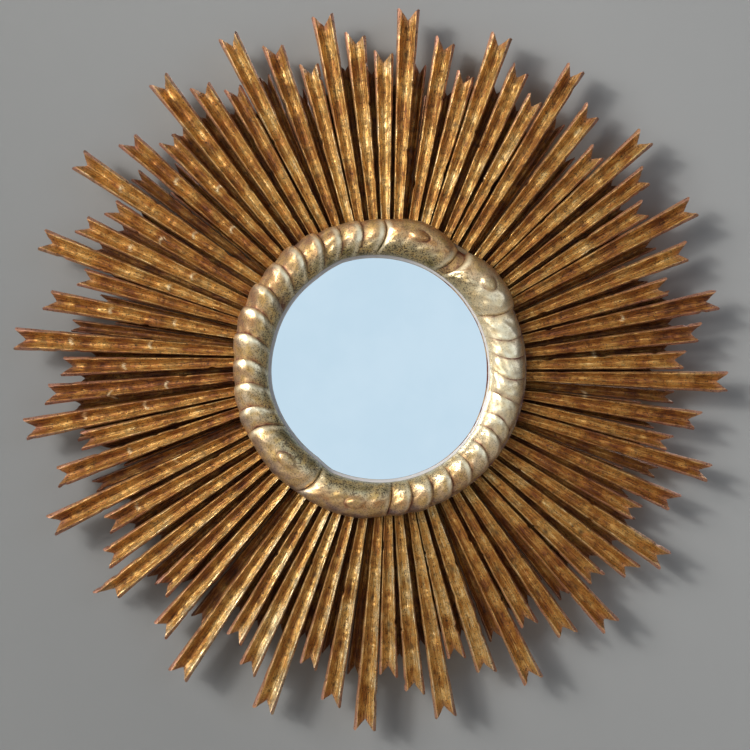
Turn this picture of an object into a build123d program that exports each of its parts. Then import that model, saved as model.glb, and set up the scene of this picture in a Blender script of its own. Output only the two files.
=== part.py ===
from build123d import *
from dataclasses import dataclass
from math import cos, radians, sin, sqrt
import os

# Sunburst mirror, in millimetres. +Z is up, the front looks along -Y, and the wall is the plane y = 0.
# Depths are counted forward from the wall, radii from the middle of the glass, and angles in degrees
# clockwise from the top as seen from the front.

# Core board: the plywood ring that carries everything
core_thick = 18.0
core_rim = 8.5                # wood left outside the hanger's pocket
ray_foot_clearance = 2.0      # between the carved ring's skirt and the rays' inner ends

# Rays: tapered battens with a round-bottomed flute between two lips
front_ray_thick = 14.0
back_ray_thick = 12.0
front_ray_spread = 0.0635     # width of a front ray for each millimetre of radius
back_ray_spread = 0.066
ray_gap = 0.6                 # least gap between two neighbours of one layer
base_gauge_radius = 194.0     # where the angles at the rays' inner ends were read
lean_count = 6                # a back ray leans as so many front rays around it do on average
edge_slope_share = 0.09       # sloped outer edge, as a share of the ray's width
lip_share = 0.08              # flat lip beside the flute
flute_share = 0.29            # depth of the flute
point_blunt = 2.2             # width left at each of the two points of a ray's end
long_notch = 13.0
medium_notch = 14.5
short_notch = 14.0
back_notch = 11.0
medium_uneven = 6.5           # how much shorter the clockwise point is
short_uneven = 4.0
broken_long_ray = 16          # this long ray has lost its other point
broken_length = 21.0

# Carved ring
lip_cover = 9.0               # how far the ring's lip covers the edge of the glass
band_width = 46.0             # the ring's foot, from the edge over the glass outwards
sight_flat = 3.5              # smooth band between the glass and the carving
sight_slope = 1.5
lip_drop = 3.0                # the lip over the glass reaches this far behind the rays' front
rabbet_depth = 10.0
skirt_wall = 4.0
foot_height = 3.0
tongue_low = 19.0             # height of a tongue at its tucked end and at its free end
tongue_high = 23.5
tongue_low_overhang = 2.0     # how far it stands out past the ring's foot at those ends
tongue_high_overhang = 5.5
tongue_nose = 1.6             # degrees over which a free end rounds down
tongue_nose_drop = 1.5
tuck_under = 2.0              # degrees by which a tucked end runs on under its neighbour
tuck_inset = 1.0              # and how far it keeps inside its neighbour's inner edge
crown_sunk = 1.0              # how far the leaves reach down into the ring's foot
lobe_height = 27.0
lobe_overhang = 9.5
lobe_end_swell = 0.3
lobe_swell = [(0.12, 0.6), (0.3, 0.93), (0.5, 1), (0.7, 0.93), (0.88, 0.6)]
carving_slant = 14.0          # degrees by which the cuts between tongues lean off the radius
boss_length = 22.0
boss_width = 13.0
boss_rise = 2.2               # above the lobe's highest line
boss_outset = 9.0             # outwards from the middle of the band

# Glass and the boards behind it
glass_radius = 145.0
glass_thick = 4.0
rabbet_clearance = 1.0        # between the glass edge and the rabbet's wall
backing_thick = 3.2
point_count = 12
point_thick = 0.8
point_wide = 9.0
point_bite = 2.5              # how far a glazing point is pressed into the rabbet's wall
point_hold = 7.0              # how far it reaches over the backing board

# Rear cover
cover_thick = 3.0
cover_clearance = 0.3
cover_ledge = 10.3            # how wide the ledge is that the cover lies on
cover_screw_count = 8
cover_screw_bite = 10.0       # how far a screw goes into the wood
cover_screw_shank = 1.75
cover_screw_head = 3.4
cover_screw_head_height = 2.0

# Long screws from the back into the carved ring, one at every second long ray
ring_screw_inset = 10.0       # in from the outer edge of the ring's foot
ring_screw_bite = 16.5
ring_screw_shank = 2.25
ring_screw_head = 4.3
ring_screw_head_height = 2.8
ring_screw_sunk = 0.5

# All screws, as shares of the shank's or the head's radius and of the head's height
screw_clearance = 0.2
screw_tip_share = 2.5
pan_top_share = 0.75
pan_edge_share = 0.4
recess_long_share = 1.1
recess_wide_share = 0.25
recess_deep_share = 0.5
cut_over = 1.0                # how far every cut runs past the face it starts or ends at

# Hanger: a strap with a rolled end that holds a D ring, in a pocket at the top of the core board
pocket_wall = 2.2             # wood between the pocket and the cover's ledge
pocket_margin = 2.5           # above the ring
pocket_side = 5.0             # beside the ring
pocket_spare = 2.4            # how far the strap's roll lies below the back of the board
pocket_corner = 5.0
eye_depth = 12.5              # deeper part of the pocket, behind the ring's eye
eye_corner = 2.0
eye_margin = 0.5              # between this part and the strap's roll, and the ring's legs
strap_thick = 1.2
strap_wide = 14.0
strap_length = 20.0
strap_margin = 0.5
wire_radius = 1.5
roll_clearance = 0.08
ring_corner = 3.0
ring_play = 0.5               # beside the strap's roll
ring_side = 6.0
ring_rest_gap = 0.3
hanger_screw_shares = [0.35, 0.75]   # along the strap, down from the roll's axis
hanger_screw_bite = 7.5
hanger_screw_shank = 1.4
hanger_screw_head = 2.8
hanger_screw_head_height = 1.7

# Front rays, in 24 runs of a long, a medium and a short one. Each is its angle at the tip, its reach
# and its angle at the inner end, read by eye from the photograph.
front_rays = [
    [(4.5, 451, 6.7), (11.2, 422, 12.4), (16.2, 386, 17.0)],
    [(20.0, 444, 20.9), (25.0, 418, 26.5), (29.8, 392, 30.4)],
    [(33.0, 449, 35.0), (39.4, 421, 40.9), (45.0, 386, 46.1)],
    [(48.8, 441, 49.9), (53.9, 414, 55.2), (58.7, 389, 59.7)],
    [(62.5, 441, 63.4), (68.9, 414, 69.4), (73.9, 375, 74.0)],
    [(78.3, 430, 78.2), (83.4, 405, 83.5), (88.2, 382, 88.3)],
    [(92.1, 434, 92.7), (99.2, 405, 99.9), (104.3, 375, 104.3)],
    [(107.5, 431, 108.5), (114.4, 407, 114.5), (119.2, 369, 119.5)],
    [(123.9, 429, 124.2), (128.8, 407, 129.3), (134.0, 379, 134.0)],
    [(138.1, 432, 138.4), (144.7, 409, 144.2), (149.7, 372, 148.9)],
    [(153.8, 434, 153.9), (160.6, 404, 159.8), (165.2, 375, 164.5)],
    [(169.3, 442, 167.8), (173.9, 409, 172.9), (178.5, 385, 177.1)],
    [(182.5, 451, 180.8), (188.5, 425, 186.7), (193.7, 384, 191.9)],
    [(199.0, 451, 196.8), (203.9, 414, 201.2), (208.5, 386, 206.5)],
    [(213.5, 459, 211.7), (220.1, 430, 219.0), (224.8, 390, 224.5)],
    [(230.5, 454, 229.8), (235.3, 419, 234.8), (240.3, 394, 240.4)],
    [(244.6, 455, 245.4), (251.5, 428, 253.0), (256.5, 386, 257.2)],
    [(260.4, 450, 261.4), (265.7, 421, 267.0), (270.5, 399, 272.4)],
    [(274.8, 458, 276.7), (281.8, 428, 283.4), (287.2, 393, 288.3)],
    [(291.0, 453, 291.5), (295.9, 418, 296.4), (301.0, 395, 300.8)],
    [(304.8, 459, 306.2), (312.2, 430, 313.4), (317.2, 394, 318.5)],
    [(322.5, 456, 323.0), (327.5, 423, 328.9), (332.3, 399, 333.8)],
    [(335.4, 458, 338.3), (341.6, 429, 342.8), (346.8, 393, 348.1)],
    [(350.7, 448, 352.0), (355.7, 423, 357.3), (360.6, 398, 361.9)],
]

# Back rays behind each run of front rays: the angle at the tip and the reach
back_rays = [
    [(7.5, 386), (10.3, 348), (13.7, 365), (18.3, 385)],
    [(22.8, 388), (27.8, 379), (31.8, 360)],
    [(36.0, 384), (38.8, 338), (41.7, 360), (44.2, 325), (47.0, 360)],
    [(51.5, 383), (56.3, 373), (60.6, 355)],
    [(65.3, 378), (68.0, 333), (71.0, 353), (73.3, 323), (75.9, 376)],
    [(81.0, 378), (85.9, 369), (90.0, 350)],
    [(95.4, 370), (98.3, 330), (101.2, 351), (103.7, 323), (106.0, 350)],
    [(110.5, 370), (113.2, 329), (116.4, 350), (118.8, 313), (121.5, 371)],
    [(126.5, 373), (131.7, 363), (136.0, 350)],
    [(140.9, 368), (143.6, 333), (146.9, 349), (149.4, 313), (151.8, 350)],
    [(156.7, 369), (159.6, 325), (162.6, 354), (167.0, 350)],
    [(171.6, 356), (176.2, 370), (180.2, 350)],
    [(185.0, 385), (187.6, 340), (190.5, 363), (193.0, 329), (196.0, 355)],
    [(201.4, 356), (206.2, 363), (210.8, 358)],
    [(216.2, 390), (219.0, 340), (221.9, 365), (224.4, 325), (227.3, 391)],
    [(232.9, 356), (237.7, 375), (242.4, 365)],
    [(247.7, 388), (250.4, 344), (253.6, 364), (258.4, 390)],
    [(263.3, 391), (268.2, 383), (272.6, 370)],
    [(278.1, 391), (280.9, 338), (284.0, 363), (286.5, 328), (289.1, 365)],
    [(293.5, 393), (298.5, 378), (302.6, 365)],
    [(308.4, 393), (311.2, 344), (314.3, 365), (316.8, 325), (319.8, 395)],
    [(325.2, 396), (330.1, 381), (334.0, 368)],
    [(338.4, 396), (341.0, 344), (344.0, 365), (346.3, 328), (349.0, 362)],
    [(353.3, 390), (358.3, 383), (362.6, 368)],
]

# Where the carving is cut between one leaf and the next, clockwise from the top. At each cut one leaf
# ends free and lies over the tucked end of the other: the one before the cut, or from turned_from to
# turned_to the one after it.
crown_cuts = [
    2.0, 33.5, 37.5, 65.5, 77.0, 85.0, 94.0, 103.0, 112.0, 119.0, 127.5, 137.0, 147.0, 156.5, 166.0,
    175.0, 210.5, 244.5, 253.5, 264.0, 274.0, 284.5, 295.5, 305.5, 316.0, 325.5, 335.0, 343.5, 352.5,
]
turned_from = 103.0
turned_to = 210.5
lobe_cuts = [2.0, 37.5, 175.0, 210.5]     # the broad leaves start here, all others are tongues

# Depths that follow from the sizes above
back_ray_depth = core_thick
front_ray_depth = back_ray_depth + back_ray_thick
ring_seat_depth = front_ray_depth + front_ray_thick
crown_depth = ring_seat_depth + foot_height
lip_depth = ring_seat_depth - lip_drop
skirt_depth = lip_depth - rabbet_depth
glass_depth = lip_depth - glass_thick
backing_depth = glass_depth - backing_thick
point_depth = backing_depth - point_thick
roll_radius = wire_radius + roll_clearance + strap_thick
pocket_depth = 2 * roll_radius + pocket_spare
roll_depth = pocket_depth - roll_radius
hanger_screw_start = pocket_depth - strap_thick - hanger_screw_head_height

# Radii that follow, outwards from the glass
sight_radius = glass_radius - lip_cover
rabbet_radius = glass_radius + rabbet_clearance
skirt_radius = rabbet_radius + skirt_wall
opening_radius = skirt_radius + ray_foot_clearance
crown_inner_radius = sight_radius + sight_flat
foot_outer_radius = sight_radius + band_width
tongue_low_radius = foot_outer_radius + tongue_low_overhang
tongue_high_radius = foot_outer_radius + tongue_high_overhang
lobe_radius = foot_outer_radius + lobe_overhang
crown_axis_radius = (crown_inner_radius + tongue_low_radius) / 2
ring_screw_radius = foot_outer_radius - ring_screw_inset
ledge_radius = opening_radius + cover_ledge
cover_radius = ledge_radius - cover_clearance
cover_screw_radius = opening_radius + cover_ledge / 2

# The hanger's pocket, upwards from the cover's ledge
ring_half_width = strap_wide / 2 + ring_play + ring_corner
ring_reach = ring_side + ring_half_width
pocket_bottom = ledge_radius + pocket_wall
roll_height = pocket_bottom + strap_margin + strap_length
pocket_top = roll_height + ring_reach + wire_radius + pocket_margin
pocket_wide = 2 * (ring_half_width + wire_radius + pocket_side)
core_outer_radius = pocket_top + core_rim

# Screw lengths that follow
ring_screw_length = ring_seat_depth + ring_screw_bite - ring_screw_sunk
cover_screw_length = cover_thick + cover_screw_bite
hanger_screw_length = hanger_screw_head_height + strap_thick + hanger_screw_bite

front = Vector(0, -1, 0)


def spot(radius, angle, depth=0.0):
    turn = radians(angle)
    return Vector(radius * sin(turn), -depth, radius * cos(turn))


def turned(points):
    # a ring or disc about the Y axis, from its outline as radius and depth
    outline = Polyline([(radius, -depth) for radius, depth in points], close=True)
    return revolve(make_face(outline), axis=Axis.Y)


def disc(radius, depth, thick):
    return turned([(0, depth), (radius, depth), (radius, depth + thick), (0, depth + thick)])


def rod(start, direction, radius, length):
    return Solid.make_cylinder(radius, length, Plane(origin=start, z_dir=direction))


def back_plane(point):
    # local z runs forward, the way a screw goes in from the back
    return Plane(origin=point, x_dir=(1, 0, 0), z_dir=front)


def spun(points):
    # a round piece along its own Z axis, from its outline as radius and length
    return revolve(Plane.XZ * make_face(Polyline(points, close=True)), axis=Axis.Z)


@dataclass
class Ray:
    foot: Vector
    along: Vector
    length: float
    foot_width: float
    tip_width: float

    def width(self, way):
        return self.foot_width + (self.tip_width - self.foot_width) * way / self.length

    def point(self, way, depth=0.0):
        return self.foot + self.along * way + front * depth

    def left(self):
        return front.cross(self.along)


def laid_ray(tip_angle, reach, base_angle, spread):
    base = spot(base_gauge_radius, base_angle)
    tip = spot(reach, tip_angle)
    along = (tip - base).normalized()
    foot = base + along * (opening_radius - base.dot(along))
    return Ray(foot, along, (tip - foot).dot(along), spread * opening_radius, spread * reach)


def lean_near(tip_angle):
    # how much the front rays around an angle lean
    every = [ray for run in front_rays for ray in run]
    every.sort(key=lambda ray: abs((ray[0] - tip_angle + 180) % 360 - 180))
    return sum(ray[2] - ray[0] for ray in every[:lean_count]) / lean_count


def room(ray, other, way):
    # the way across from a ray's axis to its neighbour's, less the gap: as wide as both may be there
    step = other.foot - ray.point(way)
    left = ray.left()
    spin = left.X * other.along.Z - left.Z * other.along.X
    across = (step.X * other.along.Z - step.Z * other.along.X) / spin
    return abs(across) - ray_gap


def slim_neighbours(rays):
    # a ray is slimmed at its foot and at its tip where its neighbours stand close
    for number, ray in enumerate(rays):
        neighbours = (rays[number - 1], rays[(number + 1) % len(rays)])
        ray.foot_width = min([ray.foot_width] + [room(ray, other, 0.0) for other in neighbours])
        for other in neighbours:
            way = min(ray.length, other.length)
            spread = (room(ray, other, way) - ray.foot_width) / way
            ray.tip_width = min(ray.tip_width, ray.foot_width + spread * ray.length)


def ray_section(ray, way, depth, thick):
    width = ray.width(way)
    half = width / 2
    lip_out = half - edge_slope_share * width
    lip_in = lip_out - lip_share * width
    shoulder = thick - edge_slope_share * width
    outline = Polyline(
        (-lip_in, thick), (-lip_out, thick), (-half, shoulder), (-half, 0),
        (half, 0), (half, shoulder), (lip_out, thick), (lip_in, thick),
    )
    flute = ThreePointArc((lip_in, thick), (0, thick - flute_share * width), (-lip_in, thick))
    plane = Plane(origin=ray.point(way, depth), x_dir=ray.left(), z_dir=ray.along)
    return plane * make_face([outline, flute])


def end_cut(ray, depth, thick, notch, uneven):
    # what is cut off a ray's end: the notch between its two points, and the shorter point's end
    half = ray.width(ray.length) / 2
    left_end = ray.length + min(uneven, 0)
    right_end = ray.length - max(uneven, 0)
    notch_end = min(ray.length - notch, left_end - point_blunt, right_end - point_blunt)
    outline = Polyline(
        (left_end, half + cut_over), (left_end, half - point_blunt), (notch_end, 0),
        (right_end, point_blunt - half), (right_end, -half - cut_over),
        (ray.length + cut_over, -half - cut_over), (ray.length + cut_over, half + cut_over), close=True,
    )
    plane = Plane(origin=ray.point(0, depth - cut_over), x_dir=ray.along, z_dir=front)
    return extrude(plane * make_face(outline), amount=thick + 2 * cut_over, dir=front)


def made_ray(ray, depth, thick, notch, uneven, screw_spots):
    sections = [ray_section(ray, way, depth, thick) for way in (0.0, ray.length)]
    solid = loft(sections, ruled=True) - end_cut(ray, depth, thick, notch, uneven)
    hole = ring_screw_shank + screw_clearance
    for centre in screw_spots:
        step = centre - ray.foot
        way = step.dot(ray.along)
        across = abs(step.dot(ray.left()))
        if 0 < way < ray.length and across < ray.width(way) / 2 + hole:
            start = centre + front * (depth - cut_over)
            solid = solid - rod(start, front, hole, thick + 2 * cut_over)
    return solid.solids()[0]


def crown_section(angle, height, outer_radius, inner_radius):
    # half an ellipse on a plane that leans off the radius, with a low foot under it
    turn = radians(angle)
    outward = Vector(sin(turn), 0, cos(turn))
    clockwise = Vector(cos(turn), 0, -sin(turn))
    lean = radians(carving_slant)
    across = outward * cos(lean) + clockwise * sin(lean)
    plane = Plane(origin=spot(crown_axis_radius, angle, crown_depth), x_dir=across,
                  z_dir=across.cross(front))
    half = (outer_radius - inner_radius) / 2 / cos(lean)
    middle = ((outer_radius + inner_radius) / 2 - crown_axis_radius) / cos(lean)
    arc = EllipticalCenterArc((middle, 0), half, height, start_angle=0, arc_size=180)
    foot = Polyline(arc @ 1, (middle - half, -crown_sunk), (middle + half, -crown_sunk), arc @ 0)
    return plane * make_face([arc, foot])


def tucked_end(angle):
    return crown_section(angle, tongue_low, tongue_low_radius, crown_inner_radius + tuck_inset)


def high_section(angle, drop):
    return crown_section(angle, tongue_high - drop, tongue_high_radius - drop, crown_inner_radius)


def tongue(start, end, start_free, end_free):
    # low where it is tucked under its neighbour, high near its free end, then a rounded nose
    sections = []
    if start_free:
        sections += [high_section(start, tongue_nose_drop), high_section(start + tongue_nose, 0)]
    else:
        sections.append(tucked_end(start - tuck_under))
    if not start_free and not end_free:
        sections.append(high_section((start + end) / 2, 0))
    if end_free:
        sections += [high_section(end - tongue_nose, 0), high_section(end, tongue_nose_drop)]
    else:
        sections.append(tucked_end(end + tuck_under))
    return loft(sections, ruled=True)


def lobe_section(angle, swell):
    height = tongue_low + swell * (lobe_height - tongue_low)
    outer = tongue_low_radius + swell * (lobe_radius - tongue_low_radius)
    return crown_section(angle, height, outer, crown_inner_radius)


def lobe(start, end, start_free, end_free):
    # a broad leaf that swells out and up between its two ends
    first = lobe_section(start, lobe_end_swell) if start_free else tucked_end(start - tuck_under)
    last = lobe_section(end, lobe_end_swell) if end_free else tucked_end(end + tuck_under)
    between = [lobe_section(start + share * (end - start), swell) for share, swell in lobe_swell]
    return loft([first] + between + [last], ruled=True)


def lobe_boss(angle):
    # an egg shape that lies along the ring, sunk in its lobe
    arc = EllipticalCenterArc((0, 0), boss_length / 2, boss_width / 2, start_angle=0, arc_size=180)
    egg = revolve(make_face([arc, Line(arc @ 1, arc @ 0)]), axis=Axis.X)
    depth = crown_depth + lobe_height + boss_rise - boss_width / 2
    turn = radians(angle)
    centre = spot(crown_axis_radius + boss_outset, angle, depth)
    return Plane(origin=centre, x_dir=(cos(turn), 0, -sin(turn)), z_dir=front) * egg


def carved_leaves():
    leaves = []
    for start, end in zip(crown_cuts, crown_cuts[1:] + [crown_cuts[0] + 360]):
        start_free = turned_from <= start <= turned_to
        end_free = not turned_from <= end <= turned_to
        if start in lobe_cuts:
            leaves.append(lobe(start, end, start_free, end_free))
            leaves.append(lobe_boss((start + end) / 2))
        else:
            leaves.append(tongue(start, end, start_free, end_free))
    return leaves


def carved_ring(screw_spots):
    ring = turned([
        (sight_radius, lip_depth), (rabbet_radius, lip_depth), (rabbet_radius, skirt_depth),
        (skirt_radius, skirt_depth), (skirt_radius, ring_seat_depth),
        (foot_outer_radius, ring_seat_depth), (foot_outer_radius, crown_depth),
        (crown_inner_radius, crown_depth), (sight_radius, crown_depth - sight_slope),
    ])
    ring = ring.fuse(*[leaf.solids()[0] for leaf in carved_leaves()])
    for slot in glazing_plates(point_thick):
        ring = ring - slot
    hole = ring_screw_shank + screw_clearance
    for centre in screw_spots:
        start = centre + front * (ring_seat_depth - cut_over)
        ring = ring - rod(start, front, hole, ring_screw_bite + 2 * cut_over)
    return ring.solids()[0]


def glazing_plates(thick):
    # small plates pressed into the rabbet's wall, flat against the back of the backing board
    plates = []
    length = point_hold + rabbet_clearance + point_bite
    for number in range(point_count):
        angle = (number + 0.5) * 360 / point_count
        centre = spot(rabbet_radius + point_bite - length / 2, angle, point_depth + thick / 2)
        plane = Plane(origin=centre, x_dir=spot(1, angle), z_dir=front)
        plates.append(plane * Box(length, point_wide, thick))
    return plates


def screw_hole(shank, head, head_height, length):
    clear = screw_clearance
    return spun([
        (0, -cut_over), (head + clear, -cut_over), (head + clear, 0), (shank + clear, head_height),
        (shank + clear, length + cut_over), (0, length + cut_over),
    ])


def countersunk_screw(shank, head, head_height, length):
    body = spun([
        (0, 0), (head, 0), (shank, head_height), (shank, length - screw_tip_share * shank), (0, length),
    ])
    return body - cross_recess(head, head_height)


def pan_screw(shank, head, head_height, length):
    body = spun([
        (0, 0), (head * pan_top_share, 0), (head, head_height * pan_edge_share), (head, head_height),
        (shank, head_height), (shank, length - screw_tip_share * shank), (0, length),
    ])
    return body - cross_recess(head, head_height)


def cross_recess(head, head_height):
    size = (head * recess_long_share, head * recess_wide_share, head_height * recess_deep_share)
    arm = Box(*size, align=(Align.CENTER, Align.CENTER, Align.MIN))
    return arm + Rot(0, 0, 90) * arm


def core_board(screw_spots, cover_spots):
    board = turned([
        (opening_radius, cover_thick), (ledge_radius, cover_thick), (ledge_radius, 0),
        (core_outer_radius, 0), (core_outer_radius, core_thick), (opening_radius, core_thick),
    ])
    middle = (pocket_bottom + pocket_top) / 2
    pocket = RectangleRounded(pocket_wide, pocket_top - pocket_bottom, pocket_corner)
    board = board - back_plane((0, cut_over, middle)) * extrude(pocket, pocket_depth + cut_over)
    eye_low = roll_height + roll_radius + eye_margin
    eye_high = roll_height + ring_reach - wire_radius - eye_margin
    eye_wide = 2 * (ring_half_width - wire_radius - eye_margin)
    middle = (eye_low + eye_high) / 2
    eye = RectangleRounded(eye_wide, eye_high - eye_low, eye_corner)
    board = board - back_plane((0, cut_over, middle)) * extrude(eye, eye_depth + cut_over)
    hole = screw_hole(ring_screw_shank, ring_screw_head, ring_screw_head_height, ring_screw_length)
    for centre in screw_spots:
        board = board - back_plane(centre + front * ring_screw_sunk) * hole
    pilot = cover_screw_shank + screw_clearance
    for centre in cover_spots:
        board = board - rod(centre, front, pilot, cover_screw_length + cut_over)
    pilot = hanger_screw_shank + screw_clearance
    for height in hanger_screw_heights():
        length = pocket_depth + hanger_screw_bite + cut_over
        board = board - rod(Vector(0, 0, height), front, pilot, length)
    return board


def hanger_screw_heights():
    return [roll_height - share * strap_length for share in hanger_screw_shares]


def hanger_strap():
    leaf = Pos(0, -pocket_depth + strap_thick / 2, roll_height - strap_length / 2)
    strap = leaf * Box(strap_wide, strap_thick, strap_length)
    aside = Vector(1, 0, 0)
    start = Vector(-strap_wide / 2, -roll_depth, roll_height)
    strap = strap + rod(start, aside, roll_radius, strap_wide)
    bore = roll_radius - strap_thick
    strap = strap - rod(start - aside * cut_over, aside, bore, strap_wide + 2 * cut_over)
    hole = hanger_screw_shank + screw_clearance
    for height in hanger_screw_heights():
        strap = strap - rod(Vector(0, 0, height), front, hole, pocket_depth + cut_over)
    return strap


def hanger_ring():
    # a D of round wire that leans into the pocket until it nearly rests on the pocket's floor
    side = ring_half_width
    low = side - ring_corner
    bend = ring_corner * (1 - sqrt(0.5))
    path = Wire([
        Edge.make_line((-low, 0, 0), (low, 0, 0)),
        Edge.make_three_point_arc((low, 0, 0), (side - bend, bend, 0), (side, ring_corner, 0)),
        Edge.make_line((side, ring_corner, 0), (side, ring_side, 0)),
        Edge.make_three_point_arc((side, ring_side, 0), (0, ring_side + side, 0), (-side, ring_side, 0)),
        Edge.make_line((-side, ring_side, 0), (-side, ring_corner, 0)),
        Edge.make_three_point_arc((-side, ring_corner, 0), (bend - side, bend, 0), (-low, 0, 0)),
    ])
    section = Plane(origin=(0, 0, 0), x_dir=(0, 1, 0), z_dir=(1, 0, 0)) * Circle(wire_radius)
    ring = sweep(section, path=path)
    drop = pocket_depth - ring_rest_gap - wire_radius - roll_depth
    rise = sqrt(ring_reach ** 2 - drop ** 2)
    up = Vector(0, -drop, rise)
    plane = Plane(origin=(0, -roll_depth, roll_height), x_dir=(1, 0, 0), z_dir=Vector(1, 0, 0).cross(up))
    return plane * ring


def save(shape, node):
    export_step(shape, f"parts/{node}.step")


def save_group(solids, node):
    save(Compound(children=[Part() + solid for solid in solids]), node)


os.makedirs("parts", exist_ok=True)

front_layer = [laid_ray(*ray, front_ray_spread) for run in front_rays for ray in run]
slim_neighbours(front_layer)
long_rays = front_layer[0::3]
ring_screw_spots = [ray.point(ring_screw_radius - opening_radius) for ray in long_rays[1::2]]

back_layer = []
for run in back_rays:
    for tip_angle, reach in run:
        back_layer.append(laid_ray(tip_angle, reach, tip_angle + lean_near(tip_angle), back_ray_spread))
slim_neighbours(back_layer)

ends = [(long_notch, 0.0), (medium_notch, medium_uneven), (short_notch, short_uneven)]
for run_number in range(len(front_rays)):
    solids = []
    for place, (notch, uneven) in enumerate(ends):
        ray = front_layer[3 * run_number + place]
        if run_number + 1 == broken_long_ray and place == 0:
            uneven = -broken_length
        solids.append(made_ray(ray, front_ray_depth, front_ray_thick, notch, uneven, ring_screw_spots))
    save_group(solids, f"front_rays_{run_number + 1:02d}")

first = 0
for run_number, run in enumerate(back_rays):
    solids = []
    for ray in back_layer[first:first + len(run)]:
        solids.append(made_ray(ray, back_ray_depth, back_ray_thick, back_notch, 0.0, ring_screw_spots))
    first += len(run)
    save_group(solids, f"back_rays_{run_number + 1:02d}")

save(carved_ring(ring_screw_spots), "carved_ring")
save(disc(glass_radius, glass_depth, glass_thick), "mirror_glass")
save(disc(glass_radius, backing_depth, backing_thick), "backing_board")
save_group(glazing_plates(point_thick), "glazing_points")

cover_spots = []
for number in range(cover_screw_count):
    cover_spots.append(spot(cover_screw_radius, (number + 0.5) * 360 / cover_screw_count))
cover = disc(cover_radius, 0, cover_thick)
cover_hole = screw_hole(cover_screw_shank, cover_screw_head, cover_screw_head_height, cover_screw_length)
for centre in cover_spots:
    cover = cover - back_plane(centre) * cover_hole
save(cover, "rear_cover")
cover_screw = countersunk_screw(cover_screw_shank, cover_screw_head, cover_screw_head_height,
                                cover_screw_length)
save_group([back_plane(centre) * cover_screw for centre in cover_spots], "cover_screws")

save(core_board(ring_screw_spots, cover_spots), "core_board")
ring_screw = countersunk_screw(ring_screw_shank, ring_screw_head, ring_screw_head_height,
                               ring_screw_length)
save_group([back_plane(centre + front * ring_screw_sunk) * ring_screw for centre in ring_screw_spots],
           "ring_screws")

save(hanger_strap(), "hanger_strap")
save(hanger_ring(), "hanger_ring")
hanger_screw = pan_screw(hanger_screw_shank, hanger_screw_head, hanger_screw_head_height,
                         hanger_screw_length)
hanger_spots = [Vector(0, -hanger_screw_start, height) for height in hanger_screw_heights()]
save_group([back_plane(centre) * hanger_screw for centre in hanger_spots], "hanger_screws")
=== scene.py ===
import bpy
import numpy as np
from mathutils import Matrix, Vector


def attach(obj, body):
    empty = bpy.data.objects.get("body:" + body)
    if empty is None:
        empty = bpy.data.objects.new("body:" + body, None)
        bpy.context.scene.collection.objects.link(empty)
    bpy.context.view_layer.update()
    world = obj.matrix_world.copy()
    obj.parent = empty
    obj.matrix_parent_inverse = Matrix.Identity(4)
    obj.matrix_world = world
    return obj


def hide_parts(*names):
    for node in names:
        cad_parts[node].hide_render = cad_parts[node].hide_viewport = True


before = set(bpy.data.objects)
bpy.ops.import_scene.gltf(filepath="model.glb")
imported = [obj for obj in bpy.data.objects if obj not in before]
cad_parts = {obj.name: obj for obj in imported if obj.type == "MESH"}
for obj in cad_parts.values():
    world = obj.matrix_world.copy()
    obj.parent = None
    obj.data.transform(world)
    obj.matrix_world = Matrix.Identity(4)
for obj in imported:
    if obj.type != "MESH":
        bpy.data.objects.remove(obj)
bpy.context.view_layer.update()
print("frame loaded:", len(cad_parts), "nodes")


# Camera: straight in front of the wall, as far away as the photo's slight perspective asks for
cameraSetup = {"distance": 2.05, "widthSeen": 0.9375, "planeDepth": 0.036, "aside": -0.0066, "down": -0.0071,
               "sensor": 36}
camera = bpy.data.objects.new("camera", bpy.data.cameras.new("camera"))
bpy.context.scene.collection.objects.link(camera)
camera.location = (cameraSetup["aside"], -cameraSetup["distance"], cameraSetup["down"])
camera.rotation_euler = (np.pi / 2, 0, 0)
camera.data.sensor_width = cameraSetup["sensor"]
toPlane = cameraSetup["distance"] - cameraSetup["planeDepth"]
camera.data.lens = cameraSetup["sensor"] * toPlane / cameraSetup["widthSeen"]
bpy.context.scene.camera = camera
bpy.context.scene.view_settings.view_transform = "Standard"


# Materials
def linearColour(code):
    # sRGB hex to the linear colour that a shader takes
    parts = np.array([int(code[place:place + 2], 16) / 255 for place in (1, 3, 5)])
    linear = np.where(parts <= 0.04045, parts / 12.92, ((parts + 0.055) / 1.055) ** 2.4)
    return (*linear.tolist(), 1.0)


def addNode(tree, kind, settings):
    # a name is a property or an input, a value is a setting, a hex colour or another node's output
    node = tree.nodes.new(kind)
    for name, value in settings.items():
        if name == "stops":
            elements = node.color_ramp.elements
            while len(elements) < len(value):
                elements.new(0.5)
            for element, (place, colour) in zip(elements, value):
                element.position = place
                element.color = linearColour(colour)
        elif isinstance(name, str) and hasattr(node, name):
            setattr(node, name, value)
        elif isinstance(value, bpy.types.NodeSocket):
            tree.links.new(value, node.inputs[name])
        elif isinstance(value, str):
            node.inputs[name].default_value = linearColour(value)
        else:
            node.inputs[name].default_value = value
    return node


def emptyMaterial(name):
    material = bpy.data.materials.new(name)
    material.use_nodes = True
    material.node_tree.nodes.clear()
    return material, material.node_tree


def mapped(tree, value, fromLow, fromHigh, toLow, toHigh, kind="LINEAR"):
    return addNode(tree, "ShaderNodeMapRange", {
        "interpolation_type": kind, "Value": value, "From Min": fromLow, "From Max": fromHigh,
        "To Min": toLow, "To Max": toHigh,
    }).outputs[0]


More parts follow.
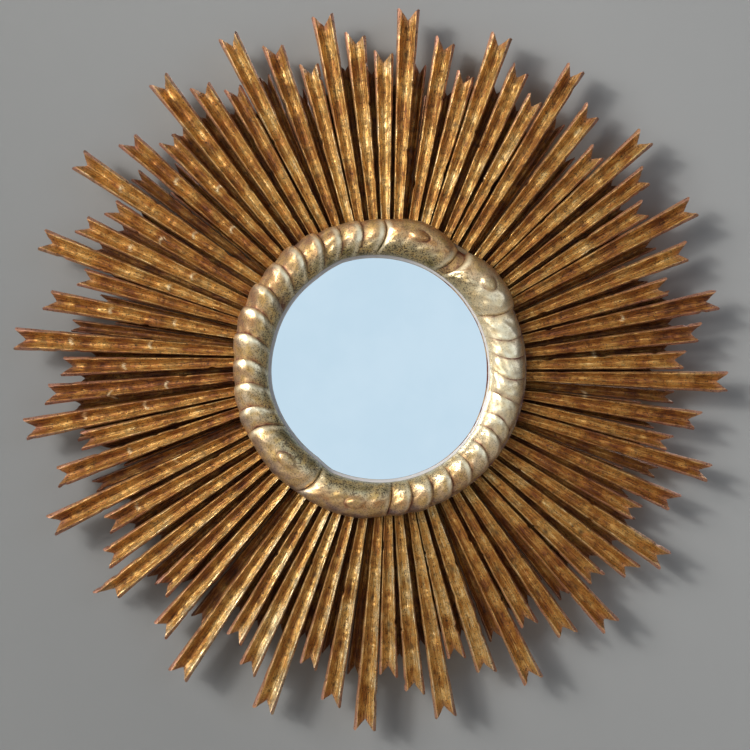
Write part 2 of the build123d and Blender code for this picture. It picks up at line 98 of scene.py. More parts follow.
def spreadNoise(tree, place, size, detail=4.0, low=0.35, high=0.65, rough=0.55):
    # a noise whose blotches are about size metres wide, stretched so that it runs from 0 to 1
    noise = addNode(tree, "ShaderNodeTexNoise", {"Vector": place, "Scale": 1 / size, "Detail": detail,
                                                 "Roughness": rough})
    return mapped(tree, noise.outputs[0], low, high, 0, 1, "SMOOTHSTEP")


def stretched(tree, place, scale):
    return addNode(tree, "ShaderNodeMapping", {"Vector": place, "Scale": scale}).outputs[0]


def blended(tree, factor, first, second):
    return addNode(tree, "ShaderNodeMix", {"data_type": "RGBA", 0: factor, 6: first, 7: second}).outputs[2]


def combined(tree, operation, first, second):
    # two values into one between 0 and 1
    return addNode(tree, "ShaderNodeMath", {"operation": operation, "use_clamp": True, 0: first,
                                            1: second}).outputs[0]


def times(tree, first, second):
    return combined(tree, "MULTIPLY", first, second)


def calculated(tree, operation, *values):
    settings = {"operation": operation}
    settings.update(enumerate(values))
    return addNode(tree, "ShaderNodeMath", settings).outputs[0]


def sharesOf(tree, titles):
    # the values that a piece's mesh holds at its points
    return {title: addNode(tree, "ShaderNodeAttribute", {"attribute_name": title}).outputs["Fac"]
            for title in titles}


def bumped(tree, strength, distance, height):
    return addNode(tree, "ShaderNodeBump", {"Strength": strength, "Distance": distance,
                                            "Height": height}).outputs[0]


def finishWith(tree, settings):
    shader = addNode(tree, "ShaderNodeBsdfPrincipled", settings)
    addNode(tree, "ShaderNodeOutputMaterial", {"Surface": shader.outputs[0]})


# Gilt wood of the rays: leaf over red clay on hand-gouged wood, rubbed through on the lips and toned
# with umber wax, so the eye gets brown gold with streaks along the grain and dark specks. Gouge marks get
# a painted highlight, some flanks a painted highlight and others painted shade, and the rear battens
# painted shade. Sizes in metres
rayGilding = {
    "umber": "#23130A", "clay": "#7C4526", "brownGold": "#AE7636", "gold": "#D9AE66", "paleGold": "#F8E6BC",
    "dustyClay": "#BC8A78",
    "streakWide": 0.0013, "streakStretch": 0.06, "blotch": 0.03, "speck": 0.0021, "relief": 0.0008,
    "leastGold": 0.12, "blotchGold": 0.3, "streakGold": 0.32, "hollowLoss": 0.05, "waxCover": 0.85,
    "metallic": (0.3, 0.95), "rough": (0.52, 0.28),
    "frontToneGold": 0.27, "backToneGold": 0.0, "backPaintedShade": 0.35,
}


def giltWoodMaterial(name, toneGold, paintedShade):
    s = rayGilding
    material, tree = emptyMaterial(name)
    place = addNode(tree, "ShaderNodeTexCoord", {})
    alongGrain = stretched(tree, place.outputs["UV"], (1, s["streakStretch"], 1))
    spot = place.outputs["Object"]
    share = sharesOf(tree, ("wear", "hollow", "tone", "mark", "knot"))
    streak = spreadNoise(tree, alongGrain, s["streakWide"], 5.0, 0.33, 0.67)
    darkStreak = spreadNoise(tree, alongGrain, s["streakWide"] * 1.7, 5.0, 0.53, 0.68, 0.65)
    fineStreak = spreadNoise(tree, alongGrain, s["streakWide"] * 0.45, 3.0, 0.3, 0.7)
    blotch = spreadNoise(tree, spot, s["blotch"], 6.0, 0.36, 0.64, 0.66)
    speck = spreadNoise(tree, spot, s["speck"], 2.5, 0.58, 0.65, 0.5)
    patch = spreadNoise(tree, spot, s["speck"] * 3.5, 4.0, 0.52, 0.64, 0.65)
    gold = s["leastGold"]
    # the tone share holds a random tone plus a painted highlight on some flanks and on rays pointing up and
    # down
    for amount, weight in ((blotch, s["blotchGold"]), (streak, s["streakGold"]), (share["tone"], toneGold)):
        gold = combined(tree, "ADD", times(tree, amount, weight), gold)
    gold = combined(tree, "SUBTRACT", gold, times(tree, share["hollow"], s["hollowLoss"]))
    colour = addNode(tree, "ShaderNodeValToRGB", {"Fac": gold, "stops": [
        (0.0, s["umber"]), (0.24, s["clay"]), (0.46, s["brownGold"]), (0.72, s["gold"]), (1.0, s["paleGold"]),
    ]}).outputs[0]
    rubbed = times(tree, share["wear"], combined(tree, "ADD", streak, 0.3))
    colour = blended(tree, rubbed, colour, s["dustyClay"])
    dark = combined(tree, "MAXIMUM", speck, times(tree, patch, 0.6))
    dark = combined(tree, "MAXIMUM", dark, times(tree, darkStreak, 0.75))
    # the knot share holds dark knots plus painted shade on the flank of some rays away from the window
    dark = combined(tree, "MAXIMUM", dark, share["knot"])
    colour = blended(tree, times(tree, dark, s["waxCover"]), colour, s["umber"])
    # the rear battens' copy is blended toward umber here as painted shade; the front copy gets none
    colour = blended(tree, paintedShade, colour, s["umber"])
    # painted highlight: pale gold on the gouge marks
    colour = blended(tree, times(tree, share["mark"], 0.9), colour, s["paleGold"])
    leaf = times(tree, gold, combined(tree, "SUBTRACT", 1.0, dark))
    height = combined(tree, "ADD", times(tree, streak, 0.5), times(tree, fineStreak, 0.3))
    height = combined(tree, "SUBTRACT", height, times(tree, speck, 0.25))
    finishWith(tree, {
        "Base Color": colour, "Metallic": mapped(tree, leaf, 0, 1, *s["metallic"]),
        "Roughness": mapped(tree, leaf, 0, 1, *s["rough"]),
        "Normal": bumped(tree, 0.7, s["relief"], height),
    })
    return material


# Burnished pale gold leaf of the carved ring: leaf on polished clay, with clay and painted shade in its
# hollows, a painted highlight on its crests and painted shade in mauve on its outer flank, so the eye gets
# a champagne sheen with near-white highlights, amber slopes and a rain of dark specks
ringGilding = {
    "leaf": "#CBAC72", "paleLeaf": "#F4E7C8", "amber": "#B0711F", "olive": "#87794A", "mauve": "#84706A",
    "clay": "#5E1E10", "umber": "#20130B", "lip": "#C6C5C8",
    "cloud": 0.014, "speck": 0.0018, "crack": 0.0048, "relief": 0.0007,
    "metallic": (0.72, 0.1), "rough": (0.42, 0.3),
}


def burnishedLeafMaterial(name):
    s = ringGilding
    material, tree = emptyMaterial(name)
    spot = addNode(tree, "ShaderNodeTexCoord", {}).outputs["Object"]
    share = sharesOf(tree, ("hollow", "crest", "olive", "mauve", "amber", "lip"))
    cloud = spreadNoise(tree, spot, s["cloud"], 5.0, 0.35, 0.65, 0.6)
    patch = calculated(tree, "MULTIPLY_ADD", cloud, 0.8, 0.3)
    speck = spreadNoise(tree, spot, s["speck"], 2.0, 0.535, 0.6, 0.5)
    crack = spreadNoise(tree, spot, s["crack"], 5.0, 0.545, 0.61, 0.7)
    colour = blended(tree, cloud, s["leaf"], s["paleLeaf"])
    # the mauve tint is painted shade on the outer flank
    for title in ("amber", "olive", "mauve"):
        colour = blended(tree, times(tree, share[title], patch), colour, s[title])
    # painted highlight: pale leaf on the crests
    colour = blended(tree, share["crest"], colour, s["paleLeaf"])
    rain = combined(tree, "MAXIMUM", speck, times(tree, crack, 0.8))
    rain = times(tree, rain, combined(tree, "ADD", times(tree, share["olive"], 0.5), 0.5))
    rain = combined(tree, "SUBTRACT", rain, times(tree, share["crest"], 0.5))
    colour = blended(tree, rain, colour, s["umber"])
    # clay in the hollows, with painted shade there, in the boss grooves and on the dark ledge
    colour = blended(tree, times(tree, share["hollow"], patch), colour, s["clay"])
    colour = blended(tree, share["lip"], colour, s["lip"])
    bare = combined(tree, "MAXIMUM", combined(tree, "MAXIMUM", rain, share["hollow"]), share["lip"])
    rough = mapped(tree, cloud, 0, 1, *s["rough"])
    height = combined(tree, "SUBTRACT", times(tree, cloud, 0.6), times(tree, rain, 0.35))
    finishWith(tree, {
        "Base Color": colour, "Metallic": mapped(tree, bare, 0, 1, *s["metallic"]),
        "Roughness": combined(tree, "ADD", rough, times(tree, bare, 0.15)),
        "Normal": bumped(tree, 0.4, s["relief"], height),
    })
    return material


# Meshes: grids worked out with numpy
def cornersOf(node):
    # the corners of each solid of a CAD node. Loose triangles that share corners get one label, the
    # smallest number among their corners, which spreads until nothing changes any more
    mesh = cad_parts[node].data
    points = np.zeros(len(mesh.vertices) * 3)
    mesh.vertices.foreach_get("co", points)
    loops = np.zeros(len(mesh.loops), np.int32)
    mesh.loops.foreach_get("vertex_index", loops)
    corners, same = np.unique(np.round(points.reshape(-1, 3), 6), axis=0, return_inverse=True)
    triangles = same.reshape(-1)[loops].reshape(-1, 3)
    label = np.arange(len(corners))
    changed = True
    while changed:
        spread = label.copy()
        lowest = label[triangles].min(axis=1)
        for side in range(3):
            np.minimum.at(spread, triangles[:, side], lowest)
        changed = bool((spread != label).any())
        label = spread
    return [corners[label == one] for one in np.unique(label)]


def measuredRay(corners):
    # a ray's foot, direction, widths and ends, read from the corners of its flat back
    back = corners[corners[:, 1] > corners[:, 1].max() - 1e-5][:, [0, 2]]
    foot = back[np.argsort(np.hypot(back[:, 0], back[:, 1]))[:2]]
    middle = foot.mean(axis=0)
    across = (foot[1] - foot[0]) / np.linalg.norm(foot[1] - foot[0])
    along = np.array([-across[1], across[0]])
    along = along * np.sign(along @ middle)
    left = np.array([-along[1], along[0]])
    way, side = (back - middle) @ along, (back - middle) @ left
    footHalf = np.linalg.norm(foot[1] - foot[0]) / 2
    leftEnd = way[side.argmax()]
    return {
        "middle": middle, "along": along, "left": left, "footHalf": footHalf,
        "flare": (side.max() - footHalf) / leftEnd, "leftEnd": leftEnd, "rightEnd": way[side.argmin()],
        "notchEnd": way[np.abs(side) < 0.0005].max(),
        "backY": corners[:, 1].max(), "frontY": corners[:, 1].min(),
    }


def slowWave(way, seed, pitch):
    # five sines of random pitch and start along a ray, added up to about -1 to 1
    picks = np.random.default_rng(seed)
    turns = picks.uniform(0.5, 2.0, 5) / pitch
    starts = picks.uniform(0, 2 * np.pi, 5)
    return np.sin(2 * np.pi * way[..., None] * turns + starts).mean(axis=-1) * 1.6


def tubeFaces(rows, around):
    # quads of a grid that is closed around; both ends are closed by pairing its front with its back
    i, j = np.meshgrid(np.arange(rows - 1), np.arange(around), indexing="ij")
    after = (j + 1) % around
    sides = np.stack([i * around + j, i * around + after, (i + 1) * around + after, (i + 1) * around + j], -1)
    k = np.arange(around // 2 - 1)
    first = np.stack([k, around - 1 - k, around - 2 - k, k + 1], -1)
    last = first[:, ::-1] + (rows - 1) * around
    return np.concatenate([sides.reshape(-1, 4), first, last])


def makePiece(name, points, faces, across, attributes, sharpAngle):
    # points and faces into a mesh; faces are turned over if the volume they enclose comes out negative
    a, b, c, d = (points[faces[:, corner]] for corner in range(4))
    volume = (np.cross(b - a, c - a) * a).sum() + (np.cross(c - a, d - a) * a).sum()
    if volume < 0:
        faces = faces[:, ::-1]
    mesh = bpy.data.meshes.new(name)
    mesh.from_pydata(points.tolist(), [], faces.tolist())
    mesh.shade_smooth()
    mesh.set_sharp_from_angle(angle=np.radians(sharpAngle))
    layer = mesh.uv_layers.new(name="surface")
    layer.data.foreach_set("uv", across[faces.ravel()].astype(np.float32).ravel())
    for title, values in attributes.items():
        attribute = mesh.attributes.new(title, "FLOAT", "POINT")
        attribute.data.foreach_set("value", values.astype(np.float32))
    piece = bpy.data.objects.new(name, mesh)
    bpy.context.scene.collection.objects.link(piece)
    return piece


def bell(x, middle, width):
    # 1 at the middle, falling to 0 on both sides over about twice the width
    return np.exp(-((x - middle) / width) ** 2)


# Rays. Across a ray, u runs from 1 at its left edge to -1; half is half its width at that place. The
# shoulders outside the lips are wider toward the tip. Lengths in metres
rayForm = {
    "u": [1, 0.975, 0.93, 0.88, 0.82, 0.76, 0.7, 0.63, 0.52, 0.38, 0.2, 0],
    "rowLength": 0.0016,           # between two rows of points along a front ray
    "backRows": 2.5,               # a back ray's rows are so many times as far apart
    "lipTop": 0.88, "lipTopAtTip": 0.72, "lipWide": 0.09, "fluteDepth": 0.78, "edgeDrop": 0.3,
    "bluntTip": 0.0022, "tipSlope": 0.0008, "endRough": 0.0006,
    "wander": 0.00022, "edgeWear": 0.0005, "sharpAngle": 40,
    # waves along a ray, size and pitch: the flute's line, its depth in long and in short waves
    "lineWave": (0.04, 0.14), "longWave": (0.12, 0.06), "shortWave": (0.05, 0.012),
    "chipEvery": 0.11, "chipLong": (0.0015, 0.006), "chipDeep": (0.0004, 0.0016),
    "markRise": 0.0006, "knotSink": 0.0005,
    "window": (-0.85, 0.52),       # toward the window, seen from the front
    "flankLightShare": [(203, 34, 1.0), (338, 16, 0.4)],  # degrees, spread and share of rays whose flanks get a painted highlight and painted shade
    # gouge marks that catch the light, painted pale gold as a painted highlight, and dark knots, as seen in
    # the photo: degrees and radius
    "marks": [(261, 0.375), (261.3, 0.298), (264.6, 0.34), (265.8, 0.269), (270.8, 0.321), (275.3, 0.389),
              (276, 0.29), (282.3, 0.346), (282.7, 0.264), (291.3, 0.284), (296, 0.348), (296.4, 0.263),
              (300.5, 0.319), (304.9, 0.396), (305.9, 0.288), (312.8, 0.348), (313.5, 0.256), (318.3, 0.304),
              (252, 0.33), (246, 0.28), (240.5, 0.35), (86, 0.27), (78, 0.31), (97, 0.26)],
    "knots": [(129, 0.323), (134.5, 0.29), (138, 0.365), (144.8, 0.341), (144.5, 0.25), (149.5, 0.29),
              (160, 0.265), (173.4, 0.349), (172.5, 0.266), (178, 0.319), (182, 0.285), (197.6, 0.269),
              (202.8, 0.356), (4.7, 0.394), (12.3, 0.36), (17, 0.319), (321.8, 0.298), (228, 0.3),
              (105, 0.33), (62, 0.3)],
}


def marksOn(ray, way, side):
    # 1 on a gouge mark, a thin arc across the ray, and 1 at a knot, a blot along it; 0 elsewhere
    s = rayForm
    mark, knot = np.zeros_like(way), np.zeros_like(way)
    for angle, reach in s["marks"] + s["knots"]:
        spot = reach * np.array([np.sin(np.radians(angle)), np.cos(np.radians(angle))]) - ray["middle"]
        a, b = way - spot @ ray["along"], side - spot @ ray["left"]
        if (angle, reach) in s["knots"]:
            knot = np.maximum(knot, np.exp(-(a / 0.0045) ** 2 - (b / 0.0026) ** 2))
        else:
            arc = np.exp(-(((a + b ** 2 / 0.006) / 0.0012) ** 2))
            mark = np.maximum(mark, arc * (np.abs(b) < 0.0046))
    return mark, knot


def rayPoints(ray, seed, rowLength):
    # row v and place u give the way = v * end(u), where end(u) draws the swallowtail. Seen across, the
    # front drops by fluteDepth * half * (1 - |u / (lipTop - lipWide)|^1.7) in the flute and by
    # edgeDrop * half * ((|u| - lipTop) / (1 - lipTop))^1.3 outside the lips
    s = rayForm
    picks = np.random.default_rng(seed)
    u = np.array(s["u"] + [-x for x in s["u"][-2::-1]])
    leftEnd, rightEnd = ray["leftEnd"], ray["rightEnd"]
    longest = max(leftEnd, rightEnd)
    rows = int(longest / rowLength) + 2
    blunt = 1 - s["bluntTip"] / (ray["footHalf"] + ray["flare"] * longest)
    end = np.interp(u, [-1, -blunt, 0, blunt, 1],
                    [rightEnd - s["tipSlope"], rightEnd, ray["notchEnd"], leftEnd, leftEnd - s["tipSlope"]])
    end = end + picks.uniform(-s["endRough"], s["endRough"], len(u))
    way = np.linspace(0, 1, rows)[:, None] * end
    toTip = np.clip(way / longest, 0, 1)
    half = ray["footHalf"] + ray["flare"] * way
    lipTop = s["lipTop"] + (s["lipTopAtTip"] - s["lipTop"]) * toTip ** 2.5
    line, long, short = (size * slowWave(way, seed + number, pitch) for number, (size, pitch)
                         in enumerate((s["lineWave"], s["longWave"], s["shortWave"]), 1))
    inside = np.clip(1 - np.abs((u + line) / (lipTop - s["lipWide"])) ** 1.7, 0, 1)
    drop = s["fluteDepth"] * (1 + long + short) * half * inside
    outside = np.clip((np.abs(u) - lipTop) / (1 - lipTop), 0, 1)
    drop = drop + s["edgeDrop"] * half * outside ** 1.3
    # the edges are worn, wander and are chipped here and there
    side = u * half
    nearEdge = np.clip((np.abs(u) - 0.62) / 0.38, 0, 1)
    drop = drop + s["edgeWear"] * np.clip(slowWave(way, seed + 4, 0.035), 0, 2) * nearEdge
    edgeWave = np.where(u > 0, slowWave(way, seed + 5, 0.06), slowWave(way, seed + 6, 0.06))
    side = side - np.sign(u) * nearEdge * s["wander"] * (1 + edgeWave)
    for _ in range(picks.poisson(longest / s["chipEvery"])):
        where = picks.uniform(0.2, 1) * longest
        chipLong, chipDeep = picks.uniform(*s["chipLong"]), picks.uniform(*s["chipDeep"])
        hand = picks.choice([-1, 1])
        cut = chipDeep * np.exp(-((way - where) / chipLong) ** 4) * nearEdge * (np.sign(u) == hand)
        side = side - hand * cut
        drop = drop + 1.2 * cut
    mark, knot = marksOn(ray, way, side)
    drop = drop - s["markRise"] * mark + s["knotSink"] * knot
    front = np.stack([side, ray["frontY"] + drop, way], -1)
    back = np.stack([side, np.full_like(way, ray["backY"]), way], -1)[:, ::-1]
    loop = np.concatenate([front, back], axis=1)
    flat = loop[..., 0:1] * ray["left"] + loop[..., 2:3] * ray["along"] + ray["middle"]
    points = np.stack([flat[..., 0], loop[..., 1], flat[..., 1]], -1).reshape(-1, 3)
    # painted light: the lower left rays get paler gold on the flank that faces the window, a painted
    # highlight, and umber on the other flank, painted shade; rays pointing up and down get more gold, a
    # painted highlight
    heading = np.degrees(np.arctan2(*ray["along"])) % 360
    flankLightShare = sum(share * bell(heading, middle, spread) for middle, spread, share in s["flankLightShare"])
    facing = flankLightShare * np.clip(-1.5 * u * (ray["left"] @ np.array(s["window"])), -1, 1) + 0 * way
    tone = 0.6 * picks.uniform(0, 1) + 0.4 * ray["along"][1] ** 2 + 1.1 * np.clip(facing, 0, 1)
    knot = np.maximum(knot, 0.42 * np.clip(-facing, 0, 1))
    lips = np.clip((np.abs(u) - lipTop + 0.05) / 0.08, 0, 1) * (0.2 + 0.8 * toTip ** 3)
    tip = np.clip((way - end + 0.012) / 0.012, 0, 1) * 0.5
    shares = {"wear": np.clip(lips + tip, 0, 1), "hollow": inside, "mark": mark, "knot": knot, "tone": tone}
    shares = {title: np.concatenate([one, one[:, ::-1]], axis=1).ravel() for title, one in shares.items()}
    # the seed moves each ray to another part of the streaks
    across = np.stack([loop[..., 0].ravel() + seed * 0.137, loop[..., 2].ravel() + seed * 0.731], -1)
    return points, tubeFaces(rows, 2 * len(u)), across, shares


def makeRays(layer, material, rowLength):
    total = 0
    for number in range(1, 25):
        node = f"{layer}_rays_{number:02d}"
        parts, first = [], 0
        for place, corners in enumerate(cornersOf(node)):
            seed = number * 10 + place * 311
            points, faces, across, shares = rayPoints(measuredRay(corners), seed, rowLength)
            parts.append((points, faces + first, across, shares))
            first += len(points)
        joined = [np.concatenate([part[k] for part in parts]) for k in range(3)]
        shares = {title: np.concatenate([part[3][title] for part in parts]) for title in parts[0][3]}
        piece = makePiece(f"{layer}Rays{number:02d}", *joined, shares, rayForm["sharpAngle"])
        piece.data.materials.append(material)
        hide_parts(node)
        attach(piece, "mirror")
        total += len(piece.data.polygons)
    print(layer, "rays made,", total, "faces")


frontGilding = giltWoodMaterial("water gilding over red clay on gouged wood, rubbed",
                                rayGilding["frontToneGold"], 0.0)
# the rear battens' copy: less gold and umber blended in, painted shade
backGilding = giltWoodMaterial("thin gilding over red clay on the rear battens",
                               rayGilding["backToneGold"], rayGilding["backPaintedShade"])
makeRays("front", frontGilding, rayForm["rowLength"])
makeRays("back", backGilding, rayForm["rowLength"] * rayForm["backRows"])


# Carved ring. A station is an angle in degrees clockwise from the top where a section stands; theta runs
# over the section from the glass, 0, to the outer edge, pi. Lengths in metres unless said otherwise
ringForm = {
    "cuts": [2.0, 33.5, 37.5, 65.5, 77.0, 85.0, 94.0, 103.0, 112.0, 119.0, 127.5, 137.0, 147.0, 156.5,
             166.0, 175.0, 210.5, 244.5, 253.5, 264.0, 274.0, 284.5, 295.5, 305.5, 316.0, 325.5, 335.0,
             343.5, 352.5],
    "besideCut": (-0.3, -0.12, -0.03, 0.03, 0.12, 0.3),
    "recessFrom": 33.5, "turnedFrom": 103.0, "turnedTo": 210.5, "lobes": [2.0, 37.5, 175.0, 210.5],
    "lowHeight": 0.0185, "tongueHeight": 0.0240, "lobeHeight": 0.0262, "slant": 14.0,
    "bend": 2.6, "seat": 0.0470, "stepAngle": 0.3, "sectionPoints": 56, "sharpAngle": 55,
    "lipWide": 0.0030, "noseSwell": 0.0028, "scoop": 0.0036, "pocket": 0.0045, "ledgeWide": 0.0017,
    "underEdge": 0.0006, "underDepth": 0.0455,
    # the section's rear, from under the outer edge round to the glass, radius and depth
    "rear": [(0.182, 0.0441), (0.150, 0.0441), (0.150, 0.031), (0.146, 0.031), (0.146, 0.0411)],
    # the lip over the glass: distance out from its edge, 1 where it lies behind the ledge, and depth
    "lip": [(0, 0, 0.0411), (0, 0, 0.0413), (0, 1, 0.0415), (0, 1, 0.0452), (0.0004, 1, 0.0462),
            (0.0010, 1, 0.0468)],
    "ledgeShade": [1, 1, 1, 0.3, 0, 0],
    # inner and outer edge as seen in the photo, angle and radius in millimetres
    "inner": [(5, 138.8), (25, 137), (45, 134.4), (60, 133), (95, 132.8), (110, 134.4), (125, 136.3),
              (150, 137.3), (190, 137.5), (205, 138.6), (215, 134.4), (238, 134), (250, 135), (265, 136.2),
              (290, 135.2), (310, 136.8), (330, 137.6), (345, 141), (355, 140)],
    "outer": [(0, 186), (5, 187), (12, 190), (17, 190.6), (24, 187.5), (28, 184), (33.4, 178), (37.4, 178),
              (38, 182), (45, 187), (50, 188.5), (60, 188), (64.5, 185), (67, 181.5), (90, 180.5),
              (110, 179.5), (125, 180), (150, 181), (172, 181.5), (178, 183), (186, 187), (196, 187),
              (210, 184.5), (225, 185.5), (240, 183.5), (250, 184.5), (262, 182.5), (275, 182.5),
              (290, 186), (300, 185), (322, 187.5), (335, 186), (345, 187), (355, 186)],
    # the egg-shaped bosses of the lobes: angle, radius, half length and half width in millimetres, rise
    "bosses": [(16.3, 170.5, 11.5, 6.3, 0.0026), (51.3, 170.5, 9.5, 7.8, 0.0028),
               (190.3, 167.0, 11.5, 6.8, 0.0024), (226, 160.5, 11.5, 7.4, 0.0028)],
    # shares by angle, as the photo shows them: how far the noses stand up, how deep the outer flank is
    # scooped, which way a station bends, how wide the ledge is, and where each tint of the leaf lies; the
    # pale tint is a painted highlight and the mauve one painted shade
    "noses": [(66, 0.45), (100, 0.5), (125, 1.0), (172, 1.0), (246, 0.7), (280, 1.0), (290, 1.5), (335, 1.4),
              (345, 0.6), (360, 0.6)],
    "scooped": [(240, 0.2), (262, 0.7), (288, 1.2), (335, 1.1), (350, 0.3), (10, 0), (110, 0), (130, 0.5),
                (170, 0.5), (176, 0), (235, 0)],
    "bends": [(94, -1), (112, 1), (166, 1), (184, 0), (205, 1), (214, 1), (232, -1)],
    "ledge": [(25, 0), (48, 0.7), (72, 0.4), (98, 1), (120, 0.6), (145, 0.35), (158, 0)],
    "paleHighlight": [(40, 0), (60, 0.6), (112, 0.6), (140, 0), (160, -0.5), (212, -0.4), (235, 0)],
    "olive": [(0, 0.95), (35, 0.9), (54, 0.75), (64, 0.3), (72, 0.1), (112, 0.15), (122, 0.45), (150, 0.5),
              (172, 0.75), (210, 0.9), (235, 0.85), (260, 0.75), (300, 0.8), (345, 0.95)],
    "mauve": [(0, 0.15), (66, 0.15), (120, 0.3), (150, 0.6), (178, 1), (215, 1), (244, 0.7), (262, 0.5),
              (300, 0.65), (330, 0.6), (345, 0.25)],
    "amber": [(0, 0.85), (20, 0.75), (45, 0.8), (60, 0.4), (80, 0.12), (110, 0.15), (140, 0.6), (165, 0.95),
              (185, 0.95), (210, 0.8), (240, 0.5), (280, 0.5), (315, 0.85), (330, 1), (350, 1)],
}


def smooth(x):
    x = np.clip(x, 0, 1)
    return x * x * (3 - 2 * x)


def quarterRound(x):
    # rises from 0 to 1 as a quarter of a circle does
    return np.sqrt(1 - (1 - np.clip(x, 0, 1)) ** 2)


def byAngle(station, pairs):
    # a value that runs straight between the given pairs of angle and value, all the way round
    return np.interp(station, *zip(*pairs), period=360)


def leavesAt(station):
    # for each station: its leaf's height over the seat, how far it swells outward, the shares along the
    # leaf, and the degrees to its free nose and to its tucked end. A leaf's rise grows toward its free end
    # and rounds down over its nose; leaves from turnedFrom to turnedTo lie the other way round
    s = ringForm
    cuts = np.array(s["cuts"] + [s["cuts"][0] + 360])
    turn = np.where(station < cuts[0], station + 360, station)
    leaf = np.clip(np.searchsorted(cuts, turn, side="right") - 1, 0, len(cuts) - 2)
    share = (turn - cuts[leaf]) / (cuts[leaf + 1] - cuts[leaf])
    turned = (cuts >= s["turnedFrom"]) & (cuts <= s["turnedTo"])
    startFree, endFree = turned[leaf], ~turned[leaf + 1]
    isLobe, isRecess = np.isin(cuts[leaf], s["lobes"]), cuts[leaf] == s["recessFrom"]
    span = cuts[leaf + 1] - cuts[leaf]
    degreesIn, degreesLeft = share * span, (1 - share) * span
    nearer = np.minimum(degreesIn, degreesLeft)
    ways = [endFree & ~startFree, startFree & ~endFree]
    toward = np.select(ways, [share, 1 - share], 1 - np.abs(2 * share - 1))
    nose = np.where(isLobe, nearer, np.select(ways, [degreesLeft, degreesIn], 9.0))
    tucked = np.where(isLobe, 9.0, np.select(ways, [degreesIn, degreesLeft], nearer))
    picks = np.random.default_rng(5)
    strength = picks.uniform(0.7, 1.3, len(cuts))[leaf]
    warmth = picks.uniform(0.5, 1.3, len(cuts))[leaf]
    strength = strength * byAngle(station, s["noses"])
    rise = strength * (0.25 + 0.75 * smooth(toward * 1.5)) * (0.45 + 0.55 * quarterRound(nose / 3.4))
    lobeRise = 0.62 + 0.38 * quarterRound(nose / 6.5) + 0.1 * np.sin(np.pi * share)
    rise = np.where(isRecess, 0, rise)
    height = np.where(isLobe, s["lobeHeight"] * 0.96 * lobeRise,
                      s["lowHeight"] + (s["tongueHeight"] - s["lowHeight"]) * rise)
    return {
        "height": height, "swell": np.where(isLobe, 0, s["noseSwell"] * (rise - 0.5)),
        "toward": toward[:, None],
        "nose": np.where(isRecess, 9.0, nose)[:, None], "tucked": np.where(isRecess, 0.3, tucked)[:, None],
        "warmth": warmth, "picks": picks,
    }


def carvedCrown(station, leaf, inner, outer):
    # the carved face over the seat: depth = seat + height * sin(theta)^0.8 at radius = middle - half *
    # cos(theta), with the scoops, bosses and knife marks cut into it; and the shares of its tints
    s = ringForm
    column = station[:, None]
    theta = np.linspace(0, np.pi, s["sectionPoints"])[None, :]
    crownInner = inner + s["lipWide"]
    middle, half = (outer + crownInner) / 2, (outer - crownInner) / 2
    radius = middle[:, None] - half[:, None] * np.cos(theta)
    body = np.sin(theta) ** 0.8
    depth = s["seat"] + leaf["height"][:, None] * body
    out = theta / np.pi + np.zeros_like(depth)
    # a scoop along the outer flank, deepest where a leaf starts
    flank = smooth((out - 0.58) / 0.2) * smooth((1.02 - out) / 0.16)
    flank = flank * byAngle(station, s["scooped"])[:, None]
    depth = depth - s["scoop"] * flank * (1 - smooth((leaf["toward"] - 0.35) / 0.45))
    pocket = bell(column, 307, 4.0) * bell(out, 0.2, 0.13)
    depth = depth - s["pocket"] * pocket
    # clay and painted shade just past each nose's step and in the pocket
    hollow = bell(leaf["tucked"], 0, 0.8) * (0.35 + 0.65 * smooth((out - 0.15) / 0.3))
    hollow = np.maximum(hollow, 0.85 * pocket)
    # painted highlight: paler leaf on the side across from the window, where its light falls, and less on the
    # noses at the bottom
    paleHighlight = byAngle(station, s["paleHighlight"])[:, None]
    crest = np.maximum(bell(leaf["nose"], 1.5, 1.1) * body * (1 + np.minimum(paleHighlight, 0)), paleHighlight * body)
    # each boss is cut free along the side away from the light, and its groove is painted dark as painted
    # shade
    for angle, across, long, wide, rises in s["bosses"]:
        a = np.radians(column - angle) * across
        reach = np.sqrt((a / long) ** 2 + ((radius * 1000 - across) / wide) ** 2)
        groove = bell(reach, 1.13, 0.13) * smooth((a / long + 0.5) / 0.9)
        depth = depth + rises * np.exp(-reach ** 5) - 0.0006 * bell(reach, 1.5, 0.5) - 0.0013 * groove
        hollow = np.maximum(hollow, 0.9 * groove)
    # the carver's knife left slow waves: seven sines of random heading, pitch in millimetres and start
    turn = np.radians(column) * 160
    fade = smooth(column / 4) * smooth((360 - column) / 4)
    picks = leaf["picks"]
    for _ in range(7):
        heading, pitch, start = picks.uniform(0, np.pi), picks.uniform(7, 22), picks.uniform(0, 6.3)
        run = turn * np.cos(heading) + radius * 1000 * np.sin(heading)
        depth = depth + body * fade * 0.000012 * pitch * np.sin(run * 2 * np.pi / pitch + start)
    # a station leans by slant off the radius and bends by bend * cos(theta)^2, so that noses look round
    shift = np.tan(np.radians(s["slant"])) * (radius - middle[:, None]) / radius
    bends = np.radians(s["bend"]) * byAngle(station, s["bends"])[:, None] * np.cos(theta) ** 2
    angle = np.radians(column) + shift + bends
    amber = (byAngle(station, s["amber"]) * leaf["warmth"])[:, None] * smooth((out - 0.3) / 0.25)
    # deeper gold and clay just past each nose's step, painted shade
    amber = np.maximum(amber, 0.95 * bell(leaf["tucked"], 0, 2.6) * smooth((out - 0.12) / 0.2))
    crest = np.clip(crest, 0, 1)
    shares = {
        "hollow": np.clip(hollow, 0, 1), "crest": crest * 0.8,
        "olive": byAngle(station, s["olive"])[:, None] * (1 - smooth((out - 0.26) / 0.26)),
        "mauve": byAngle(station, s["mauve"])[:, None] * smooth((out - 0.6) / 0.16),
        "lip": 1 - smooth(out / 0.05), "amber": np.clip(amber * (1 - 0.7 * crest), 0, 0.78),
    }
    return radius, depth, angle, shares


